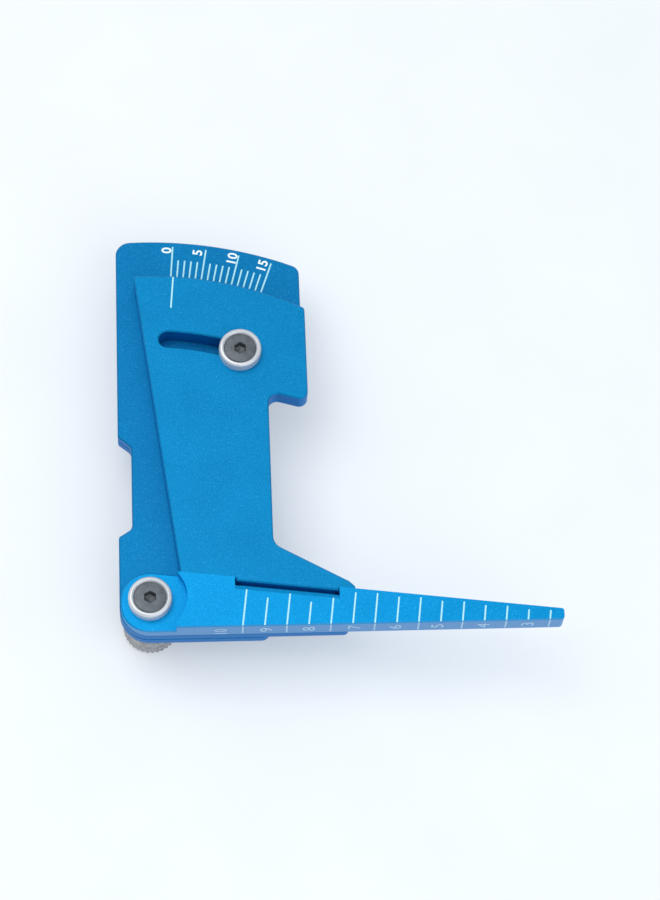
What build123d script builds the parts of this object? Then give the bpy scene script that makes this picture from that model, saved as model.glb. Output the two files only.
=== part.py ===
"""Wheel camber and ride-height gauge: a pivoting scale arm clamped to an upright with a ramped foot.

Millimetres, +Z up. The gauge lies on its back on its two thumb nuts, at zero degrees. Every sub-part is
drawn around the pivot axis (x right, y up the gauge) and moved to the shared frame when it is exported.
"""
import os
from math import cos, hypot, radians, sin

from build123d import *

# ---- plate stack, measured from the back face of the rear plate -------------------------------------
PLATE_T = 2.0                  # rear plate, scale plate and the foot's pivot ear are all this thick
BODY_T = 4.0                   # upright and ramp foot
Z_SCALE = PLATE_T              # back face of the scale plate
Z_BODY = 2 * PLATE_T           # back face of the upright and foot
Z_EAR_TOP = Z_BODY + PLATE_T   # front face of the thinned pivot ear
Z_FRONT = Z_BODY + BODY_T      # front face of the upright and foot
EDGE = 0.25                    # machined edge break

# ---- hardware: M3 and M2 countersunk socket screws, 8 mm cup washers, tall knurled nuts -------------
M3_R, M3_HEAD_R = 1.5, 3.0
M2_R, M2_HEAD_R = 1.0, 1.9
HOLE_R = 1.55                  # running clearance on M3
CUP_R, CUP_H = 4.0, 2.0
HEAD_SINK = 0.3                # screw head below the cup washer's rim
HEX_AF, HEX_DEPTH = 2.0, 1.2
PIVOT_SCREW_L, LOCK_SCREW_L = 12.0, 14.0
NUT_R, NUT_H, NUT_EDGE = 5.15, 8.6, 0.4

# ---- ramp foot: 1 in 8 wedge, 3 to 10 mm readings -----------------------------------------------------
BASE_Y = -6.2                  # sole of the foot
SLOPE = 1 / 8
MARK_X, MARK_H = 16.7, 9.5     # first ramp mark and the wedge height there
TIP_X = 75.4
EAR_R = 5.35
SEAM_R = 6.8                   # step around the pivot where the foot gets its full thickness
SEAM_X_LOW, SEAM_X_HIGH = 4.7, 5.2   # the step runs straight out of the foot below and above that arc
NOTCH_X = (15.5, 34.5)         # recess in the ramp that takes the upright's tab
NOTCH_DEPTH, TAB_DEPTH = 1.55, 0.65
LIP_WIDTH, LIP_DROP = 0.8, 0.3       # shallow bevel along the recess
LAP_X, LAP_Y = (16.3, 33.7), -3.8
LAP_SCREWS = ((20.5, -1.3), (29.5, -1.8))

# ---- upright plate -----------------------------------------------------------------------------------
UPRIGHT_TOP_R = 65.6
UPRIGHT_RIGHT = 30.2
WAIST_X = 22.75

# ---- arc slot and lock screw --------------------------------------------------------------------------
LOCK_R, LOCK_ANGLE = 52.2, 19.8      # angle clockwise from straight up, at zero degrees
TRAVEL = 15.0
SLOT_HALF, SLOT_SPARE = 1.65, 0.35   # half width, spare angle at each end

# ---- scale arm: scale plate and rear plate ------------------------------------------------------------
ARM_LEFT = -5.6                # straight wheel-contact edge
ARM_CORNER = (0.0, -0.6, 5.6)  # bottom left corner: centre x, centre y, radius
SCALE_TOP_R, SCALE_RIGHT = 75.0, 29.6
REAR_TOP_R = 65.0
NOTCH_Y = (13.4, 33.6)
NOTCH_IN = 2.5

# ---- shared frame: centre of the outline, table under the nuts ----------------------------------------
ORIGIN = (-(TIP_X + ARM_LEFT) / 2, -(SCALE_TOP_R + BASE_Y) / 2, NUT_H)


def ramp_y(x, below=0.0):
    """Height of the ramp line above the pivot axis, less a vertical drop."""
    return BASE_Y + MARK_H - (x - MARK_X) * SLOPE - below


def on_arc(radius, angle):
    """Point at an angle clockwise from straight up."""
    return radius * sin(radians(angle)), radius * cos(radians(angle))


def outline(points):
    return make_face(Polyline(*points, close=True))


def rounded(face, corners):
    """Round the face's corners nearest to the given points, one (x, y, radius) at a time."""
    for x, y, radius in corners:
        nearest = min(face.vertices(), key=lambda v: hypot(v.X - x, v.Y - y))
        face = fillet(nearest, radius)
    return face


def plate(face, z, thickness):
    return Pos(0, 0, z) * extrude(face, thickness)


def drill(x, y, radius, z=-20.0, depth=60.0):
    return Pos(x, y, z) * Cylinder(radius, depth, align=(Align.CENTER, Align.CENTER, Align.MIN))


def front_edges(part, z):
    return [e for e in part.edges() if abs(e.bounding_box().min.Z - z) < 1e-4
            and abs(e.bounding_box().max.Z - z) < 1e-4]


def break_front_edges(part, z):
    return chamfer(front_edges(part, z), EDGE)


def lock_point():
    return on_arc(LOCK_R, LOCK_ANGLE)


# ---- scale arm ----------------------------------------------------------------------------------------
def arm_left_side():
    """Left edge with its wheel-clearance notch, from the bottom left corner to above the top arc."""
    low, high = NOTCH_Y
    inner = ARM_LEFT + NOTCH_IN
    return [(ARM_LEFT, ARM_CORNER[1]), (ARM_LEFT, low), (inner, low + 1.6), (inner, high - 2.0),
            (ARM_LEFT, high), (ARM_LEFT, 90)]


def arm_face(right_side, top_radius, extra):
    cx, cy, radius = ARM_CORNER
    face = outline(arm_left_side() + right_side + [(cx, BASE_Y), (cx, cy)])
    face += Pos(cx, cy) * Circle(radius)
    face &= Circle(top_radius)
    low, high = NOTCH_Y
    inner = ARM_LEFT + NOTCH_IN
    corners = [(ARM_LEFT, low, 0.8), (inner, low + 1.6, 1.4), (inner, high - 2.0, 1.8),
               (ARM_LEFT, high, 0.8), (ARM_LEFT, top_radius, 2.8)]
    return rounded(face, corners + extra)


def scale_plate():
    right = [(SCALE_RIGHT, 90), (SCALE_RIGHT, 42.4), (21.2, 44.4), (21.2, 11.6), (34.6, 3.8),
             (36.2, 2.0), (36.2, BASE_Y)]
    extra = [(SCALE_RIGHT, 69, 2.0), (SCALE_RIGHT, 42.4, 1.5), (21.2, 44.4, 2.0), (21.2, 11.6, 2.0),
             (34.6, 3.8, 0.8), (36.2, BASE_Y, 1.0)]
    part = plate(arm_face(right, SCALE_TOP_R, extra), Z_SCALE, PLATE_T)
    part = break_front_edges(part, Z_SCALE + PLATE_T)
    return part - drill(0, 0, HOLE_R) - drill(*lock_point(), HOLE_R)


def rear_plate():
    right = [(26.0, 90), (26.0, 43.6), (13.5, 43.6), (13.5, 8.4), (21.8, 3.4), (21.8, BASE_Y)]
    extra = [(26.0, 59.6, 2.0), (26.0, 43.6, 1.5), (13.5, 43.6, 2.0), (13.5, 8.4, 2.0),
             (21.8, 3.4, 1.0), (21.8, BASE_Y, 1.5)]
    part = plate(arm_face(right, REAR_TOP_R, extra), 0, PLATE_T)
    part = break_front_edges(part, 0)
    return part - drill(0, 0, HOLE_R) - drill(*lock_point(), HOLE_R)


# ---- upright ------------------------------------------------------------------------------------------
def arc_slot():
    """Slot concentric with the pivot, open from the lock screw's zero to its full-angle place."""
    start, end = LOCK_ANGLE - TRAVEL - SLOT_SPARE, LOCK_ANGLE + SLOT_SPARE
    wedge = outline([(0, 0), on_arc(90, start), on_arc(90, (start + end) / 2), on_arc(90, end)])
    ring = Circle(LOCK_R + SLOT_HALF) - Circle(LOCK_R - SLOT_HALF)
    slot = ring & wedge
    for angle in (start, end):
        slot += Pos(*on_arc(LOCK_R, angle)) * Circle(SLOT_HALF)
    return slot


def upright_plate():
    tab_left, tab_right = NOTCH_X[0] + 0.25, NOTCH_X[1] - 0.1
    end_x = 37.4
    face = outline([
        (5.6, ramp_y(5.6)), (-5.2, 90), (UPRIGHT_RIGHT, 90), (UPRIGHT_RIGHT, 38.6),
        (WAIST_X, 40.8), (WAIST_X, 9.9), (36.4, 2.2), (end_x, 1.4), (end_x, ramp_y(end_x)),
        (tab_right, ramp_y(tab_right)), (tab_right, ramp_y(tab_right, TAB_DEPTH)),
        (tab_left, ramp_y(tab_left, TAB_DEPTH)), (tab_left, ramp_y(tab_left))])
    face &= Circle(UPRIGHT_TOP_R)
    face = rounded(face, [
        (-2.2, UPRIGHT_TOP_R, 0.5), (UPRIGHT_RIGHT, 58.2, 0.9), (UPRIGHT_RIGHT, 38.6, 1.6),
        (WAIST_X, 40.8, 1.7), (WAIST_X, 9.9, 2.6), (36.4, 2.2, 1.0)])
    part = plate(face - arc_slot(), Z_BODY, BODY_T)
    part = break_front_edges(part, Z_FRONT)
    tongue = outline([(LAP_X[0], ramp_y(LAP_X[0], 0.3)), (LAP_X[1], ramp_y(LAP_X[1], 0.3)),
                      (LAP_X[1], LAP_Y), (LAP_X[0], LAP_Y)])
    part += plate(tongue, Z_BODY, PLATE_T)
    for x, y in LAP_SCREWS:
        part -= drill(x, y, M2_R + 0.05, Z_BODY, BODY_T)
        part -= Pos(x, y, Z_BODY) * countersink(M2_R + 0.05, M2_HEAD_R)
    return part


def countersink(shank_r, head_r, lip=0.2):
    """90 degree seat that opens downwards at z = 0, below a short straight lip."""
    base = (Align.CENTER, Align.CENTER, Align.MIN)
    cone = Cone(head_r, shank_r, head_r - shank_r, align=base)
    return Cylinder(head_r, lip, align=base) + Pos(0, 0, lip) * cone


# ---- ramp foot ----------------------------------------------------------------------------------------
def foot_profile():
    wedge = outline([(0, BASE_Y), (TIP_X, BASE_Y), (TIP_X, ramp_y(TIP_X)), (0, ramp_y(0))])
    wedge = rounded(wedge, [(TIP_X, BASE_Y, 0.8), (TIP_X, ramp_y(TIP_X), 0.5)])
    drop = BASE_Y + EAR_R
    ear = Circle(EAR_R) + Pos(0, drop) * Circle(EAR_R) + Pos(0, drop / 2) * Rectangle(2 * EAR_R, -drop)
    return wedge + ear


def notch_box(depth, grow=0.0):
    (left, right), lift = NOTCH_X, 3.0
    return outline([(left - grow, ramp_y(left - grow, depth)), (right + grow, ramp_y(right + grow, depth)),
                    (right + grow, ramp_y(right, -lift)), (left - grow, ramp_y(left, -lift))])


def ear_relief():
    """Region around the pivot that is milled down to the ear."""
    side = 20.0
    below = Pos(SEAM_X_LOW - side / 2, -side / 2) * Rectangle(side, side)
    above = Pos(SEAM_X_HIGH - side / 2, side / 2) * Rectangle(side, side)
    return Circle(SEAM_R) + below + above


def sole_edge_break():
    """Wedge that breaks the sole's long front edge; the ramp line and the step stay sharp."""
    wedge = Plane.YZ * outline([(BASE_Y - 1, Z_FRONT - EDGE - 1), (BASE_Y - 1, Z_FRONT + 1),
                                (BASE_Y + EDGE + 1, Z_FRONT + 1)])
    return Pos(SEAM_X_LOW - 1, 0, 0) * extrude(wedge, TIP_X)


def ramp_foot():
    milled = plate(ear_relief(), Z_BODY - 1, BODY_T + 2)
    ear = break_front_edges(plate(foot_profile(), Z_BODY, PLATE_T), Z_EAR_TOP) & milled
    part = plate(foot_profile(), Z_BODY, BODY_T) - sole_edge_break() - milled + ear
    part -= plate(notch_box(NOTCH_DEPTH), Z_BODY - 1, BODY_T + 2)
    part -= loft([Pos(0, 0, Z_FRONT - LIP_DROP) * notch_box(NOTCH_DEPTH),
                  Pos(0, 0, Z_FRONT + 0.01) * notch_box(NOTCH_DEPTH + LIP_WIDTH, 0.01)])
    pocket = outline([(LAP_X[0] - 0.1, LAP_Y - 0.1), (LAP_X[1] + 0.1, LAP_Y - 0.1),
                      (LAP_X[1] + 0.1, 3), (LAP_X[0] - 0.1, 3)])
    part -= plate(pocket, Z_BODY - 1, PLATE_T + 1)
    for x, y in LAP_SCREWS:
        part -= drill(x, y, M2_R + 0.03, Z_BODY, 3.4)
    return part - drill(0, 0, HOLE_R)


# ---- hardware -----------------------------------------------------------------------------------------
def hex_socket(z_top, across, depth):
    return Pos(0, 0, z_top - depth) * extrude(RegularPolygon(across / 2, 6, major_radius=False), depth)


def countersunk_screw(z_head, length, shank_r, head_r, across, depth):
    """Countersunk socket screw pointing down, with its flat head at z_head."""
    profile = make_face(Polyline((0, z_head), (head_r, z_head), (head_r, z_head - 0.15),
                                 (shank_r, z_head - 0.15 - (head_r - shank_r)),
                                 (shank_r, z_head - length + 0.3), (shank_r - 0.3, z_head - length),
                                 (0, z_head - length), close=True))
    body = revolve(Plane.XZ * profile, Axis.Z, 360)
    return body - hex_socket(z_head, across, depth)


def cup_washer(z):
    """Countersunk cup washer: domed rim outside, 90 degree seat inside."""
    top, seat = z + CUP_H, z + CUP_H - HEAD_SINK
    gap = 0.04
    profile = make_face(Polyline((CUP_R, z), (CUP_R, top - 0.45), (CUP_R - 0.45, top), (M3_HEAD_R + 0.2, top),
                                 (M3_HEAD_R + gap, seat - 0.15),
                                 (M3_R + gap, seat - 0.15 - (M3_HEAD_R - M3_R)),
                                 (M3_R + gap, z), close=True))
    return revolve(Plane.XZ * profile, Axis.Z, 360)


def thumb_nut():
    nut = Pos(0, 0, -NUT_H) * Cylinder(NUT_R, NUT_H, align=(Align.CENTER, Align.CENTER, Align.MIN))
    nut = chamfer(nut.edges().filter_by(GeomType.CIRCLE), NUT_EDGE)
    return nut - drill(0, 0, HOLE_R)


def lap_screw(x, y):
    screw = countersunk_screw(0, 3.2, M2_R, M2_HEAD_R - 0.1, 1.3, 0.7)
    return Pos(x, y, Z_BODY + 0.05) * Rot(180, 0, 0) * screw


def build():
    lock = Pos(*lock_point(), 0)
    pivot_head = Z_EAR_TOP + CUP_H - HEAD_SINK
    lock_head = Z_FRONT + CUP_H - HEAD_SINK
    screw = (M3_R, M3_HEAD_R, HEX_AF, HEX_DEPTH)
    return {
        "upright_plate": upright_plate(),
        "ramp_foot": ramp_foot(),
        "lap_screw_left": lap_screw(*LAP_SCREWS[0]),
        "lap_screw_right": lap_screw(*LAP_SCREWS[1]),
        "scale_plate": scale_plate(),
        "rear_plate": rear_plate(),
        "pivot_screw": countersunk_screw(pivot_head, PIVOT_SCREW_L, *screw),
        "pivot_cup_washer": cup_washer(Z_EAR_TOP),
        "pivot_thumb_nut": thumb_nut(),
        "lock_screw": lock * countersunk_screw(lock_head, LOCK_SCREW_L, *screw),
        "lock_cup_washer": lock * cup_washer(Z_FRONT),
        "lock_thumb_nut": lock * thumb_nut(),
    }


os.makedirs("parts", exist_ok=True)
for node, shape in build().items():
    export_step(Pos(*ORIGIN) * shape, f"parts/{node}.step")
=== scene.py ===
"""Wheel camber and ride-height gauge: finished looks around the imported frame.

Blender works in metres. Shapes here are drawn in millimetres around the pivot axis, x towards the tip of
the ramp and y up the gauge, and placed by the frame's own boxes.
"""

from math import atan2, cos, degrees, hypot, pi, radians, sin, tan

import bmesh
import bpy
from mathutils import Matrix, Vector

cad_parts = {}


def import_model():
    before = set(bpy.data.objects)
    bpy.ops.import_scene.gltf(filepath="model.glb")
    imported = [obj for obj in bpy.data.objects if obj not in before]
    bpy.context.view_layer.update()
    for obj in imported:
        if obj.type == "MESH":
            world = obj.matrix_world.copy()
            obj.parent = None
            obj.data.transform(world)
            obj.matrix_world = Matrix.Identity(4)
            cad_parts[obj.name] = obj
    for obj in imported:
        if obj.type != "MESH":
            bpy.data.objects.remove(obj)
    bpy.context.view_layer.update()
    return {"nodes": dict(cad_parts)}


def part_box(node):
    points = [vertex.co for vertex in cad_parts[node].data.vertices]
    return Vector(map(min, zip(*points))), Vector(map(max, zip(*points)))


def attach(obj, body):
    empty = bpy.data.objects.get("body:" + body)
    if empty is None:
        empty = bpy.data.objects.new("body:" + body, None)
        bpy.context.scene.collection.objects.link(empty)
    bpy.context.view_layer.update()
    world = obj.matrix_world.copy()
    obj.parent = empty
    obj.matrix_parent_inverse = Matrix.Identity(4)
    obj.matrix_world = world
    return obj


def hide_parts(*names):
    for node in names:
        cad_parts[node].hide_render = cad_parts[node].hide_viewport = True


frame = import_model()
MM = 0.001


# ---- levels and places, read from the frame ------------------------------------------------------------
def centre(node):
    """Middle of a node's box, in metres."""
    low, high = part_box(node)
    return Vector([(a + b) / 2 for a, b in zip(low, high)])


def level(node, top):
    """Height of the top or the bottom of a node's box, in mm."""
    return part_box(node)[1 if top else 0][2] / MM


PIVOT = centre("pivot_screw")
LOCK = centre("lock_screw")
LOCK_XY = ((LOCK.x - PIVOT.x) / MM, (LOCK.y - PIVOT.y) / MM)
LOCK_R = hypot(*LOCK_XY)
LOCK_ANGLE = degrees(atan2(*LOCK_XY))          # clockwise from straight up
BASE_Y = (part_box("ramp_foot")[0][1] - PIVOT.y) / MM
LEFT_X = (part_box("scale_plate")[0][0] - PIVOT.x) / MM
Z_REAR, Z_SCALE = level("rear_plate", False), level("scale_plate", False)
Z_BODY, Z_FRONT = level("upright_plate", False), level("upright_plate", True)
Z_SOLE = (Z_BODY + Z_FRONT) / 2

# ---- driving dimensions of the visible shapes, mm ------------------------------------------------------
EDGE = 0.25                                    # edge break of the plates
HOLE_R = 1.55
TRAVEL, SLOT_HALF, SLOT_SPARE = 15.0, 1.65, 0.35   # degrees, half width, spare degrees at each end
SCALE_TOP_R, REAR_TOP_R, UPRIGHT_TOP_R = 75.0, 65.0, 65.6
SLOPE, MARK_X, MARK_H, MARK_STEP = 1 / 8, 16.7, 9.5, 4.0   # ramp, place and height of its first mark
ZERO_ANGLE = 4.2                               # zero mark, clockwise from straight up
TAB_DROP = 0.65                                # upright's tab below the ramp line
LINE_W, INLAY = 0.30, 0.03                     # laser line width, height above its surface
FONT_CAP = 0.72                                # height of a digit in a font of size 1
SCREW_R, HEAD_R, HEX_AF = 1.5, 3.0, 2.0
PITCH, THREAD_DEPTH = 0.5, 0.27
KNURL_DEPTH, KNURL_COLUMNS = 0.34, 33
CUP_R, CUP_LIP_R, HEAD_SINK = 4.0, 3.38, 0.3   # cup washer, inner edge of its rim, depth of the screw head


def ramp_y(x, below=0.0):
    return BASE_Y + MARK_H - (x - MARK_X) * SLOPE - below


def polar(radius, angle):
    """Point at an angle in degrees clockwise from straight up."""
    return radius * sin(radians(angle)), radius * cos(radians(angle))


# ---- outlines ------------------------------------------------------------------------------------------
def fillet(a, b, c, radius):
    """Points of the arc that rounds corner b of the path a, b, c."""
    if not radius:
        return [b]
    a, b, c = Vector(a), Vector(b), Vector(c)
    to_a, to_c = (a - b).normalized(), (c - b).normalized()
    half = to_a.angle(to_c) / 2
    reach = radius / tan(half)
    hub = b + (to_a + to_c).normalized() * radius / sin(half)
    start, end = b + to_a * reach - hub, b + to_c * reach - hub
    sweep = start.angle_signed(end)
    steps = max(3, round(abs(degrees(sweep)) / 7.5))
    return [tuple(hub + Matrix.Rotation(-sweep * k / steps, 2) @ start) for k in range(steps + 1)]


def rounded(corners):
    """Closed outline from (x, y) or (x, y, fillet radius) corners."""
    count, path = len(corners), []
    for k, corner in enumerate(corners):
        radius = corner[2] if len(corner) > 2 else 0
        path += fillet(corners[k - 1][:2], corner[:2], corners[(k + 1) % count][:2], radius)
    return path


def circle(x, y, radius, count=48):
    turns = [2 * pi * k / count for k in range(count)]
    return [(x + radius * cos(t), y + radius * sin(t)) for t in turns]


def on_top(radius, x):
    """Point at x on the top of an arc about the pivot."""
    return x, (radius**2 - x**2) ** 0.5


def top_edge(radius, left_x, right_x, left_round, right_round, inset):
    """Arc top of a plate from left to right: both corners rounded, the arc between in 0.6 degree steps."""
    start = degrees(atan2(*on_top(radius, right_x))) - inset
    end = degrees(atan2(*on_top(radius, left_x))) + inset
    steps = round((start - end) / 0.6)
    arc = [polar(radius, start + (end - start) * k / steps) for k in range(steps + 1)]
    return [(*on_top(radius, left_x), left_round), *arc[::-1], (*on_top(radius, right_x), right_round)]


def arm_left_side():
    """Bottom left corner round the pivot, then the left edge upwards with its wheel-clearance notch."""
    corner_y, corner_r, notch_x = -0.6, 5.6, LEFT_X + 2.5
    turns = [radians(a) for a in range(0, -91, -5)]
    corner = [(corner_r * sin(t), corner_y - corner_r * cos(t)) for t in turns]
    return corner + [(LEFT_X, 13.4, 0.8), (notch_x, 15.0, 1.4), (notch_x, 31.6, 1.8), (LEFT_X, 33.6, 0.8)]


def scale_outline():
    """Down the right: head, waist, then the foot that runs behind the ramp."""
    head_x, waist_x, foot_x = 29.6, 21.2, 36.2
    return rounded(
        arm_left_side() + top_edge(SCALE_TOP_R, LEFT_X, head_x, 2.8, 2.0, 2.6)
        + [(head_x, 42.4, 1.5), (waist_x, 44.4, 2.0), (waist_x, 11.6, 2.0),
           (34.6, 3.8, 0.8), (foot_x, 2.0), (foot_x, BASE_Y, 1.0)])


def rear_outline():
    head_x, waist_x, foot_x = 26.0, 13.5, 21.8
    return rounded(
        arm_left_side() + top_edge(REAR_TOP_R, LEFT_X, head_x, 2.8, 2.0, 3.0)
        + [(head_x, 43.6, 1.5), (waist_x, 43.6, 2.0), (waist_x, 8.4, 2.0),
           (foot_x, 3.4, 1.0), (foot_x, BASE_Y, 1.5)])


def upright_outline():
    """Hook and waist down the right, then the ramp line with the tab that drops into the foot's recess.

    The ramp line runs one edge break low, so that the joint with the foot shows no groove.
    """
    heel_x, top_left_x, hook_x, waist_x, end_x = 5.6, -2.235, 30.2, 22.75, 37.4
    tab_left, tab_right = 15.75, 34.4
    return rounded(
        [(heel_x, ramp_y(heel_x, EDGE))] + top_edge(UPRIGHT_TOP_R, top_left_x, hook_x, 0.5, 0.9, 1.4)
        + [(hook_x, 38.6, 1.6), (waist_x, 40.8, 1.7), (waist_x, 9.9, 2.6),
           (36.4, 2.2, 1.2), (end_x, 1.2, 0.6), (end_x, ramp_y(end_x, EDGE)),
           (tab_right, ramp_y(tab_right, EDGE)), (tab_right, ramp_y(tab_right, TAB_DROP)),
           (tab_left, ramp_y(tab_left, TAB_DROP)), (tab_left, ramp_y(tab_left, EDGE))])


def arc_slot():
    """Slot about the pivot in which the lock screw travels, clockwise outside, back inside."""
    start, end, steps = LOCK_ANGLE - TRAVEL - SLOT_SPARE, LOCK_ANGLE + SLOT_SPARE, 24
    outer = [polar(LOCK_R + SLOT_HALF, start + (end - start) * k / steps) for k in range(steps + 1)]
    inner = [polar(LOCK_R - SLOT_HALF, end + (start - end) * k / steps) for k in range(steps + 1)]
    caps = []
    for angle, turn in ((end, 0), (start, 180)):
        x, y = polar(LOCK_R, angle)
        offsets = [polar(SLOT_HALF, angle + turn + t) for t in range(15, 180, 15)]
        caps.append([(x + dx, y + dy) for dx, dy in offsets])
    return outer + caps[0] + inner + caps[1]


# ---- meshes --------------------------------------------------------------------------------------------
def add_object(name, mesh, material, body, replaced=(), sharp=32):
    """Finished object: welded, edges sharper than an angle kept crisp, placed, painted and riding."""
    bm = bmesh.new()
    bm.from_mesh(mesh)
    bmesh.ops.remove_doubles(bm, verts=bm.verts, dist=2e-7)
    bmesh.ops.recalc_face_normals(bm, faces=bm.faces)
    for face in bm.faces:
        face.smooth = True
    for edge in bm.edges:
        edge.smooth = len(edge.link_faces) == 2 and edge.calc_face_angle(0) < radians(sharp)
    bm.to_mesh(mesh)
    bm.free()
    obj = bpy.data.objects.new(name, mesh)
    bpy.context.scene.collection.objects.link(obj)
    mesh.materials.clear()
    mesh.materials.append(material)
    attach(obj, body)
    if replaced:
        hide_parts(*replaced)
    return obj


def mesh_of(data):
    """Mesh of a curve or text datablock."""
    maker = bpy.data.objects.new("maker", data)
    bpy.context.scene.collection.objects.link(maker)
    bpy.context.view_layer.update()
    mesh = bpy.data.meshes.new_from_object(maker.evaluated_get(bpy.context.evaluated_depsgraph_get()))
    bpy.data.objects.remove(maker)
    return mesh


def slab_mesh(loops, z_low, z_high, edge):
    """Flat plate with holes, drawn in mm around the pivot, with both faces' edges broken."""
    curve = bpy.data.curves.new("slab", "CURVE")
    curve.dimensions, curve.fill_mode = "2D", "BOTH"
    curve.extrude = ((z_high - z_low) / 2 - edge) * MM
    curve.bevel_depth, curve.bevel_resolution, curve.offset = edge * MM, 0, -edge * MM
    for loop in loops:
        spline = curve.splines.new("POLY")
        spline.points.add(len(loop) - 1)
        for point, (x, y) in zip(spline.points, loop):
            point.co = (x * MM, y * MM, 0, 1)
        spline.use_cyclic_u = True
    mesh = mesh_of(curve)
    mesh.transform(Matrix.Translation((PIVOT.x, PIVOT.y, (z_low + z_high) / 2 * MM)))
    return mesh


def ring_mesh(rings, x, y, hub_low=None, hub_high=None):
    """Skin over rings of (x, y, z) points in mm around (x, y): closed by two hubs, or end to end."""
    bm = bmesh.new()

    def vertex(px, py, pz):
        return bm.verts.new(((x + px) * MM + PIVOT.x, (y + py) * MM + PIVOT.y, pz * MM))

    rows = [[vertex(*point) for point in points] for points in rings]
    pairs = list(zip(rows, rows[1:]))
    if hub_low is None:
        pairs.append((rows[-1], rows[0]))
    for a, b in pairs:
        for k in range(len(a)):
            j = (k + 1) % len(a)
            bm.faces.new((a[k], a[j], b[j], b[k]))
    for row, hub in ((rows[0], hub_low), (rows[-1], hub_high)):
        if hub is not None:
            tip = vertex(0, 0, hub)
            for k in range(len(row)):
                bm.faces.new((row[k], row[(k + 1) % len(row)], tip))
    mesh = bpy.data.meshes.new("rings")
    bm.to_mesh(mesh)
    bm.free()
    return mesh


def ring(radius, z, count=72):
    """One ring; radius is a number or a function of the angle in degrees."""
    value = radius if callable(radius) else (lambda angle: radius)
    turns = [360 * k / count for k in range(count)]
    return [(value(t) * cos(radians(t)), value(t) * sin(radians(t)), z) for t in turns]


# ---- hardware shapes -----------------------------------------------------------------------------------
def hexagon(across):
    """Radius by angle of a hexagon, from its width across flats."""
    return lambda t: across / 2 / cos(radians((t + 30) % 60 - 30))


def thread(radius, z):
    """Radius by angle of a helical thread at height z."""
    def at(t):
        phase = (z / PITCH - t / 360) % 1
        return radius - THREAD_DEPTH * abs(2 * phase - 1)
    return at


def screw(name, node, x, y, body):
    """Countersunk socket screw: hex socket, flat head, cone, plain neck, thread and pointed end."""
    top, end = level(node, True), level(node, False)
    socket_depth, rim_h, plain_h, point_h, row_h = 1.5, 0.15, 1.6, 0.35, 0.1
    socket, neck = top - socket_depth, top - rim_h - (HEAD_R - SCREW_R)
    plain_end, thread_end = neck - plain_h, end + point_h
    thread_top = plain_end - row_h
    rings = [ring(hexagon(HEX_AF), socket), ring(hexagon(HEX_AF), top - 0.12),
             ring(hexagon(HEX_AF + 0.2), top), ring(HEAD_R - 0.22, top), ring(HEAD_R - 0.07, top - 0.05),
             ring(HEAD_R, top - 0.16), ring(SCREW_R, neck), ring(SCREW_R, plain_end)]
    rows = round((thread_top - end) / row_h)
    for k in range(rows + 1):
        z = thread_top - (thread_top - thread_end) * k / rows
        rings.append(ring(thread(SCREW_R, z), z))
    rings.append(ring(1.12, end))
    mesh = ring_mesh(rings, x, y, hub_low=socket - 0.5, hub_high=end)
    return add_object(name, mesh, BLACK_STEEL, body, (node,), sharp=40)


def cup_washer(name, node, x, y, body):
    """Turned cup washer: straight skirt, rounded rim, narrow lip and a 90 degree seat."""
    low, high = level(node, False), level(node, True)
    seat, gap = high - HEAD_SINK, 0.06
    shoulder, rim_w, rim_h = high - 0.62, 0.55, 0.58
    profile = [(CUP_R, low), (CUP_R, shoulder)]
    profile += [(CUP_R - rim_w * (1 - cos(radians(a))), shoulder + rim_h * sin(radians(a)))
                for a in range(15, 91, 15)]
    profile += [(CUP_LIP_R, high - 0.02), (CUP_LIP_R - 0.1, high - 0.08), (HEAD_R + gap, seat - 0.15),
                (SCREW_R + gap, seat - 1.65), (SCREW_R + gap, low)]
    mesh = ring_mesh([ring(r, z, 96) for r, z in profile], x, y)
    return add_object(name, mesh, SILVER, body, (node,), sharp=50)


def knurl(radius, z, low):
    """Radius by angle of a diamond knurl at height z: pyramids between two crossing sets of grooves."""
    pitch, groove_rise = 2 * pi * radius / KNURL_COLUMNS, 1.7 / tan(radians(60))
    rise = (z - low) / pitch * groove_rise

    def at(t):
        u, v = (t * KNURL_COLUMNS / 360 + rise) % 1, (t * KNURL_COLUMNS / 360 - rise) % 1
        return radius - KNURL_DEPTH * max(abs(2 * u - 1), abs(2 * v - 1)) ** 1.5
    return at


def thumb_nut(name, node, x, y, body):
    """Knurled nut with turned end faces, a groove in its outer face and a chamfered bore."""
    low, high = level(node, False), level(node, True)
    radius = (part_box(node)[1][0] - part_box(node)[0][0]) / MM / 2
    count, rows, bore_break, edge, groove, collar = 264, 48, 0.3, 0.62, 0.12, 0.55
    band_low, band_high = low + collar, high - collar
    profile = [(HOLE_R, low + bore_break), (HOLE_R + bore_break, low), (2.9, low), (3.0, low + groove),
               (3.3, low + groove), (3.4, low), (radius - edge, low), (radius - KNURL_DEPTH, low + 0.22)]
    for k in range(rows + 1):
        z = band_low + (band_high - band_low) * k / rows
        profile.append((knurl(radius, z, low), z))
    profile += [(radius - KNURL_DEPTH, high - 0.22), (radius - edge, high), (HOLE_R + bore_break, high),
                (HOLE_R, high - bore_break)]
    mesh = ring_mesh([ring(r, z, count) for r, z in profile], x, y)
    return add_object(name, mesh, KNURL_METAL, body, (node,), sharp=38)


# ---- laser lines and numerals --------------------------------------------------------------------------
def bar(start, end, width):
    """Line from start to end with rounded ends, as a closed outline."""
    (x0, y0), (x1, y1) = start, end
    heading = atan2(y1 - y0, x1 - x0)
    path = []
    for (x, y), turn in (((x1, y1), -90), ((x0, y0), 90)):
        angles = [heading + radians(turn + a) for a in range(0, 181, 30)]
        path += [(x + width / 2 * cos(t), y + width / 2 * sin(t)) for t in angles]
    return path


def inlay(loops, z):
    """Thin marks standing just proud of a face at height z, and as deep below it."""
    return slab_mesh(loops, z - INLAY, z + INLAY, 0.01)


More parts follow.
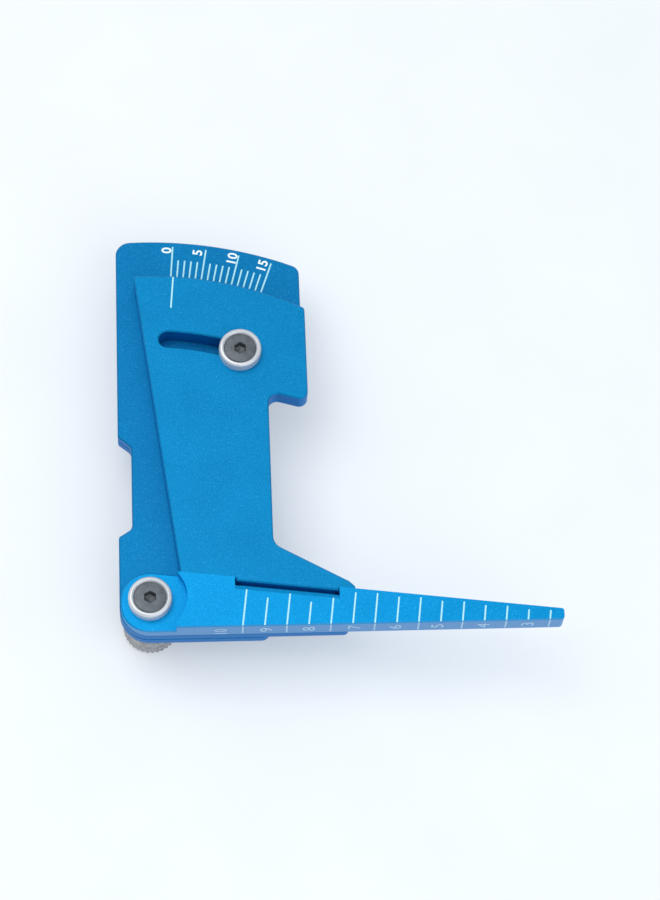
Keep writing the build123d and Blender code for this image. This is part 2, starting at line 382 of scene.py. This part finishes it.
def lines(name, segments, z, body):
    return add_object(name, inlay([bar(a, b, LINE_W) for a, b in segments], z), LASER_MARK, body)


def numeral(name, text, height, transform, body, material, bold=0.0, widen=1.0):
    """Digits, centred, facing the transform's +Z, in mm."""
    data = bpy.data.curves.new(name, "FONT")
    data.body = text
    data.size = height / FONT_CAP
    data.align_x, data.align_y = "CENTER", "CENTER"
    data.extrude, data.offset, data.space_character = INLAY, bold, 1.05
    mesh = mesh_of(data)
    middle = sum((v.co for v in mesh.vertices), Vector()) / len(mesh.vertices)
    mesh.transform(Matrix.Diagonal((widen, 1, 1, 1)) @ Matrix.Translation((-middle.x, -middle.y, 0)))
    mesh.transform(Matrix.Translation((PIVOT.x, PIVOT.y, 0)) @ Matrix.Diagonal((MM, MM, MM, 1)) @ transform)
    return add_object(name, mesh, material, body)


# ---- materials -----------------------------------------------------------------------------------------
def new_material(name):
    """Material with its nodes, its links and its surface shader."""
    material = bpy.data.materials.new(name)
    material.use_nodes = True
    tree = material.node_tree
    return material, tree.nodes, tree.links, tree.nodes["Principled BSDF"]


def noise(nodes, links, scale, **values):
    """Noise in object space: metres in, so scale is features per metre."""
    place = nodes.new("ShaderNodeTexCoord")
    node = nodes.new("ShaderNodeTexNoise")
    node.inputs["Scale"].default_value = scale
    for key, value in values.items():
        node.inputs[key].default_value = value
    links.new(place.outputs["Object"], node.inputs["Vector"])
    return node.outputs["Fac"]


def colour_ramp(nodes, links, source, low, high, start=0.3, end=0.7):
    """Colour ramp over a value."""
    node = nodes.new("ShaderNodeValToRGB")
    node.color_ramp.elements[0].position, node.color_ramp.elements[1].position = start, end
    node.color_ramp.elements[0].color, node.color_ramp.elements[1].color = (*low, 1), (*high, 1)
    links.new(source, node.inputs["Fac"])
    return node


def vary(nodes, links, source, low, high, shader):
    """Roughness between two values."""
    rough = colour_ramp(nodes, links, source, (low,) * 3, (high,) * 3)
    links.new(rough.outputs["Color"], shader.inputs["Roughness"])


def bump(nodes, links, source, strength, distance, shader):
    node = nodes.new("ShaderNodeBump")
    node.inputs["Strength"].default_value = strength
    node.inputs["Distance"].default_value = distance
    links.new(source, node.inputs["Height"])
    links.new(node.outputs["Normal"], shader.inputs["Normal"])


def mix_colour(nodes, links, blend, first, second, factor=None):
    node = nodes.new("ShaderNodeMix")
    node.data_type, node.blend_type = "RGBA", blend
    node.inputs["Factor"].default_value = 1.0
    links.new(first, node.inputs["A"])
    links.new(second, node.inputs["B"])
    if factor is not None:
        links.new(factor, node.inputs["Factor"])
    return node.outputs["Result"]


def wall_mask(nodes, links, sole_only):
    """Mask for painted light on the walls: 1 on walls square to the plate faces, or on the sole alone, and
    0 on the faces.
    """
    place = nodes.new("ShaderNodeTexCoord")
    split = nodes.new("ShaderNodeSeparateXYZ")
    size = nodes.new("ShaderNodeMath")
    size.operation = "ABSOLUTE"
    fade = nodes.new("ShaderNodeMath")
    fade.operation, fade.use_clamp = "MULTIPLY_ADD", True
    links.new(place.outputs["Normal"], split.inputs["Vector"])
    links.new(split.outputs["Z"], size.inputs[0])
    links.new(split.outputs["Y"] if sole_only else size.outputs["Value"], fade.inputs[0])
    fade.inputs[1].default_value, fade.inputs[2].default_value = (-2.5, -1.4) if sole_only else (-2.5, 1.5)
    return fade.outputs["Value"]


def anodised(name, base, painted_wall_light_tint, sole_only=False):
    """Bead-blasted anodised aluminium: fine grain with painted glints, faint cloudiness, and painted light
    on the walls, which take a tint of their own.
    """
    material, nodes, links, shader = new_material(name)
    shader.inputs["Metallic"].default_value = 0.5
    shader.inputs["Specular IOR Level"].default_value = 0.1
    grain = noise(nodes, links, 3600, Detail=3.0, Roughness=0.7)
    cloud = noise(nodes, links, 110, Detail=2.0)
    dark, light = tuple(c * 0.86 for c in base), tuple(min(1, c * 1.12 + 0.004) for c in base)
    speck = colour_ramp(nodes, links, grain, dark, light, 0.36, 0.62)
    # Painted glints: the brightest grains of the base colour are raised to stand in for light glinting off
    # the blasted grain.
    painted_glint = speck.color_ramp.elements.new(0.72)
    painted_glint.color = (0.05, *(min(1, c * 1.3 + 0.05) for c in base[1:]), 1)
    mist = colour_ramp(nodes, links, cloud, (0.94, 0.95, 0.96), (1.05, 1.04, 1.03))
    blasted = mix_colour(nodes, links, "MULTIPLY", speck.outputs["Color"], mist.outputs["Color"])
    # Painted light: the walls get their own tint in place of the face colour. It stands in for how the
    # lamps light them.
    painted_wall_light = colour_ramp(nodes, links, grain, tuple(c * 0.94 for c in painted_wall_light_tint), painted_wall_light_tint)
    mask = wall_mask(nodes, links, sole_only)
    finish = mix_colour(nodes, links, "MIX", blasted, painted_wall_light.outputs["Color"], mask)
    links.new(finish, shader.inputs["Base Color"])
    vary(nodes, links, grain, 0.36, 0.52, shader)
    bump(nodes, links, grain, 0.16, 0.03 * MM, shader)
    return material


def metal(name, low, high, metallic, rough_low, rough_high, scale=900, relief=0.1):
    """Machined metal with fine mottled colour and roughness."""
    material, nodes, links, shader = new_material(name)
    shader.inputs["Metallic"].default_value = metallic
    grain = noise(nodes, links, scale, Detail=4.0, Roughness=0.6)
    tint = colour_ramp(nodes, links, grain, low, high)
    links.new(tint.outputs["Color"], shader.inputs["Base Color"])
    vary(nodes, links, grain, rough_low, rough_high, shader)
    bump(nodes, links, grain, relief, 0.02 * MM, shader)
    return material


def laser(name, low, high):
    """Laser-etched lettering: bare, slightly uneven, matt."""
    material, nodes, links, shader = new_material(name)
    grain = noise(nodes, links, 4200, Detail=2.0)
    tint = colour_ramp(nodes, links, grain, low, high)
    links.new(tint.outputs["Color"], shader.inputs["Base Color"])
    vary(nodes, links, grain, 0.5, 0.7, shader)
    return material


# Each finish's second colour is painted light: a tint on its walls (on the foot, on the sole alone) for how
# the lamps light them.
UPRIGHT_BLUE = anodised("anodised_upright", (0.0, 0.214, 0.482), (0.0, 0.17, 0.50))
SCALE_BLUE = anodised("anodised_scale", (0.0, 0.182, 0.43), (0.02, 0.18, 0.50))
FOOT_BLUE = anodised("anodised_foot", (0.0, 0.285, 0.64), (0.14, 0.33, 0.62), sole_only=True)
BLACK_STEEL = metal("black_oxide", (0.075, 0.088, 0.10), (0.15, 0.17, 0.19), 0.6, 0.38, 0.55)
SILVER = metal("satin_silver", (0.60, 0.62, 0.65), (0.66, 0.68, 0.71), 0.4, 0.3, 0.36, 500, 0.01)
KNURL_METAL = metal("knurled_silver", (0.27, 0.27, 0.275), (0.46, 0.46, 0.47), 0.95, 0.2, 0.32)
LASER_MARK = laser("laser_line", (0.34, 0.74, 0.82), (0.52, 0.88, 0.94))
LASER_WHITE = laser("laser_numeral", (0.80, 0.93, 0.97), (0.95, 1.0, 1.0))
LASER_FAINT = laser("laser_faint", (0.32, 0.52, 0.72), (0.46, 0.66, 0.82))

# ---- plates --------------------------------------------------------------------------------------------
HOLES = [circle(0, 0, HOLE_R), circle(*LOCK_XY, HOLE_R)]
add_object("scale_plate_blasted", slab_mesh([scale_outline(), *HOLES], Z_SCALE, Z_BODY, EDGE),
           SCALE_BLUE, "scale_arm", ("scale_plate",))
add_object("rear_plate_blasted", slab_mesh([rear_outline(), *HOLES], Z_REAR, Z_SCALE, EDGE),
           SCALE_BLUE, "scale_arm", ("rear_plate",))
add_object("upright_plate_blasted", slab_mesh([upright_outline(), arc_slot()], Z_BODY, Z_FRONT, EDGE),
           UPRIGHT_BLUE, "gauge_body", ("upright_plate",))


def lap_tongue():
    """Hidden tongue of the upright behind the foot, with clearance round its two screws."""
    left, right, low, thickness, hole_r = 16.3, 33.7, -3.8, 2.0, 1.95
    face = rounded([(left, ramp_y(left, TAB_DROP)), (left, low, 0.5), (right, low, 0.5),
                    (right, ramp_y(right, TAB_DROP))])
    holes = []
    for node in ("lap_screw_left", "lap_screw_right"):
        middle = centre(node) - PIVOT
        holes.append(circle(middle.x / MM, middle.y / MM, hole_r))
    return slab_mesh([face, *holes], Z_BODY, Z_BODY + thickness, 0.1)


add_object("upright_lap_tongue", lap_tongue(), UPRIGHT_BLUE, "gauge_body")

# ---- hardware ------------------------------------------------------------------------------------------
screw("pivot_socket_screw", "pivot_screw", 0, 0, "gauge_body")
screw("lock_socket_screw", "lock_screw", *LOCK_XY, "scale_arm")
cup_washer("pivot_cup_ring", "pivot_cup_washer", 0, 0, "gauge_body")
cup_washer("lock_cup_ring", "lock_cup_washer", *LOCK_XY, "scale_arm")
thumb_nut("pivot_nut_knurled", "pivot_thumb_nut", 0, 0, "pivot_nut")
thumb_nut("lock_nut_knurled", "lock_thumb_nut", *LOCK_XY, "lock_nut")

# ---- angle scale ---------------------------------------------------------------------------------------
MAJOR_R, MINOR_R, MARK_START_R, INDEX_END_R = 73.85, 71.0, UPRIGHT_TOP_R + 0.2, 58.9
INDEX_ANGLE = ZERO_ANGLE + 0.5
NUMERAL_OFFSET = 1.15                          # middle of a number left of its line
ONE_DIGIT_R, TWO_DIGIT_R = 73.15, 73.55        # middle of a number from the pivot
SCALE_DIGIT_H, SOLE_DIGIT_H = 1.85, 2.35
MAJORS = range(0, 16, 5)
MINORS = [d for d in range(16) if d % 5]


def radial(degree, start_r, end_r):
    return polar(start_r, ZERO_ANGLE + degree), polar(end_r, ZERO_ANGLE + degree)


lines("scale_marks_major", [radial(d, MARK_START_R, MAJOR_R) for d in MAJORS], Z_BODY, "scale_arm")
lines("scale_marks_minor", [radial(d, MARK_START_R, MINOR_R) for d in MINORS], Z_BODY, "scale_arm")
lines("index_line", [(polar(UPRIGHT_TOP_R - 0.35, INDEX_ANGLE), polar(INDEX_END_R, INDEX_ANGLE))],
      Z_FRONT, "gauge_body")
for degree in MAJORS:
    digits = str(degree)
    x, y = polar(ONE_DIGIT_R if len(digits) == 1 else TWO_DIGIT_R, ZERO_ANGLE + degree)
    turn = -radians(ZERO_ANGLE + degree)
    middle = Vector((x - NUMERAL_OFFSET * cos(turn), y - NUMERAL_OFFSET * sin(turn), Z_BODY))
    place = Matrix.Translation(middle) @ Matrix.Rotation(turn + pi / 2, 4, "Z")
    numeral(f"scale_numeral_{digits}", digits, SCALE_DIGIT_H, place, "scale_arm", LASER_WHITE, bold=0.055)

# ---- ramp marks and the sole's height numbers ----------------------------------------------------------
LIP_DROP = 2.35                                # bevelled lip of the recess below the ramp line
LAST_UNDER_LIP = 4                             # marks up to this one stop under the recess


def ramp_mark(index):
    """One ramp line square to the ramp, from the sole edge up to its top; even ones are longer."""
    x = MARK_X + MARK_STEP * index
    even = index % 2 == 0
    if index <= LAST_UNDER_LIP:
        drop = LIP_DROP + (0.15 if even else 1.35)
    else:
        drop = 0.77 if even else 1.05
    top = ramp_y(x, drop)
    return (x, BASE_Y + EDGE), (x + (top - BASE_Y) * SLOPE, top)


EVEN_MARKS, ODD_MARKS = range(0, 15, 2), range(1, 15, 2)
lines("ramp_marks_whole", [ramp_mark(k) for k in ODD_MARKS], Z_FRONT, "gauge_body")
lines("ramp_marks_half", [ramp_mark(k) for k in EVEN_MARKS], Z_FRONT, "gauge_body")


def on_sole(x, z):
    """Frame on the sole at (x, z): its +X along the foot, its +Y towards the front of the gauge."""
    return Matrix.Translation((x, BASE_Y, z)) @ Matrix.Rotation(pi / 2, 4, "X")


def sole_lines():
    """The even marks carried over the edge and down the sole."""
    loops = [bar((0, 0.6), (0, Z_FRONT - Z_BODY - 0.3), LINE_W)]
    parts = bmesh.new()
    for k in EVEN_MARKS:
        mesh = inlay(loops, 0)
        mesh.transform(Matrix.Translation((-PIVOT.x, -PIVOT.y, 0)))
        place = on_sole(MARK_X + MARK_STEP * k, Z_BODY)
        place.translation *= MM
        place.translation += Vector((PIVOT.x, PIVOT.y, 0))
        mesh.transform(place)
        parts.from_mesh(mesh)
    mesh = bpy.data.meshes.new("sole_lines")
    parts.to_mesh(mesh)
    parts.free()
    return mesh


add_object("sole_lines", sole_lines(), LASER_FAINT, "gauge_body")
for step, height in enumerate(range(10, 2, -1)):
    x = MARK_X + MARK_STEP * (2 * step - 1)
    place = on_sole(x, Z_SOLE) @ Matrix.Rotation(pi / 2, 4, "Z")
    numeral(f"sole_numeral_{height}", str(height), SOLE_DIGIT_H, place, "gauge_body", LASER_FAINT,
            widen=1.3 if height < 10 else 0.9)

# ---- carried-over CAD nodes ----------------------------------------------------------------------------
FINISH = {"ramp_foot": FOOT_BLUE, "lap_screw_left": BLACK_STEEL, "lap_screw_right": BLACK_STEEL}
for node, material in FINISH.items():
    for slot in frame["nodes"][node].material_slots:
        slot.material = material


# ---- stage, light and camera ---------------------------------------------------------------------------
def floor():
    """Pale table just under the nuts, lit a little from within so that shadows stay light."""
    mesh = bpy.data.meshes.new("floor")
    half, below = 1.5, 0.2 * MM
    corners = [(-half, -half, 0), (half, -half, 0), (half, half, 0), (-half, half, 0)]
    mesh.from_pydata(corners, [], [(0, 1, 2, 3)])
    material, nodes, links, shader = new_material("pale_floor")
    grain = noise(nodes, links, 40, Detail=2.0)
    tint = colour_ramp(nodes, links, grain, (0.60, 0.625, 0.65), (0.62, 0.645, 0.67))
    links.new(tint.outputs["Color"], shader.inputs["Base Color"])
    shader.inputs["Roughness"].default_value = 0.6
    shader.inputs["Emission Color"].default_value = (0.92, 0.96, 1.0, 1)
    shader.inputs["Emission Strength"].default_value = 0.3
    mesh.materials.append(material)
    obj = bpy.data.objects.new("floor", mesh)
    obj.location.z = -below
    bpy.context.scene.collection.objects.link(obj)


def area_light(name, place, size, power, colour):
    """Disc light, in metres and watts, aimed at the origin."""
    data = bpy.data.lights.new(name, "AREA")
    data.shape, data.size, data.energy, data.color = "DISK", size, power, colour
    obj = bpy.data.objects.new(name, data)
    obj.location = place
    obj.rotation_euler = (-Vector(place)).to_track_quat("-Z", "Y").to_euler()
    bpy.context.scene.collection.objects.link(obj)


def world():
    scene_world = bpy.data.worlds.new("studio")
    bpy.context.scene.world = scene_world
    scene_world.use_nodes = True
    background = scene_world.node_tree.nodes["Background"]
    background.inputs["Color"].default_value = (0.90, 0.95, 1.0, 1)
    background.inputs["Strength"].default_value = 0.63


def camera():
    """Standing in front of the foot, looking down the plates at 24 degrees off square."""
    data = bpy.data.cameras.new("camera")
    data.lens, data.sensor_width, data.clip_start = 116.0, 36.0, 0.01
    obj = bpy.data.objects.new("camera", data)
    eye = Vector((PIVOT.x + 2.5 * MM, PIVOT.y - 191.6 * MM, (Z_BODY + 496.2) * MM))
    forward = Vector((0.0581, 0.4074, -0.9114)).normalized()
    up = Vector((0.0180, 0.9124, 0.4090))
    right = forward.cross(up).normalized()
    up = right.cross(forward)
    obj.matrix_world = Matrix.Translation(eye) @ Matrix((right, up, -forward)).transposed().to_4x4()
    bpy.context.scene.collection.objects.link(obj)
    bpy.context.scene.camera = obj


bpy.context.scene.view_settings.view_transform = "Standard"
floor()
world()
area_light("key", (-0.22, 0.12, 0.62), 0.6, 1.9, (1.0, 0.99, 0.97))
area_light("fill", (0.30, -0.40, 0.5), 0.8, 1.6, (0.92, 0.96, 1.0))
camera()
